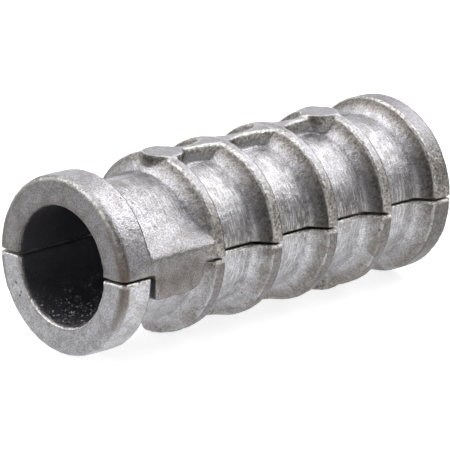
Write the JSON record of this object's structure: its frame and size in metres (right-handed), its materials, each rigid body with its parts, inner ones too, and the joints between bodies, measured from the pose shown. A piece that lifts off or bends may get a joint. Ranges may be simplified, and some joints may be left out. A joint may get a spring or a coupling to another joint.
{
  "type": "lag shield anchor",
  "caption": "Split die-cast sleeve with gripping ribs, interlocking tabs and a tapered, ridged bore, which a lag screw spreads to hold in a drilled masonry hole.",
  "frame": {"origin": "centre of the mouth, on the axis, in the plane of the mouth's face", "axes": "+X along the axis from the mouth to the far end, +Z out through the back of the upper half; the halves part at the plane Z = 0"},
  "size_m": [0.0318, 0.0128, 0.0128],
  "materials": {
    "die_cast_zinc": "satin grey as-cast surface with a fine grain and worn bright edges"
  },
  "bodies": {
    "lower": {"lower_half": "die_cast_zinc"},
    "upper": {"upper_half": "die_cast_zinc"}
  },
  "joints": [
    {"name": "spread", "type": "hinge", "parent": "lower", "child": "upper", "pos_m": [0, 0, 0], "axis": [0, -1, 0], "range_deg": [0, 3]}
  ]
}
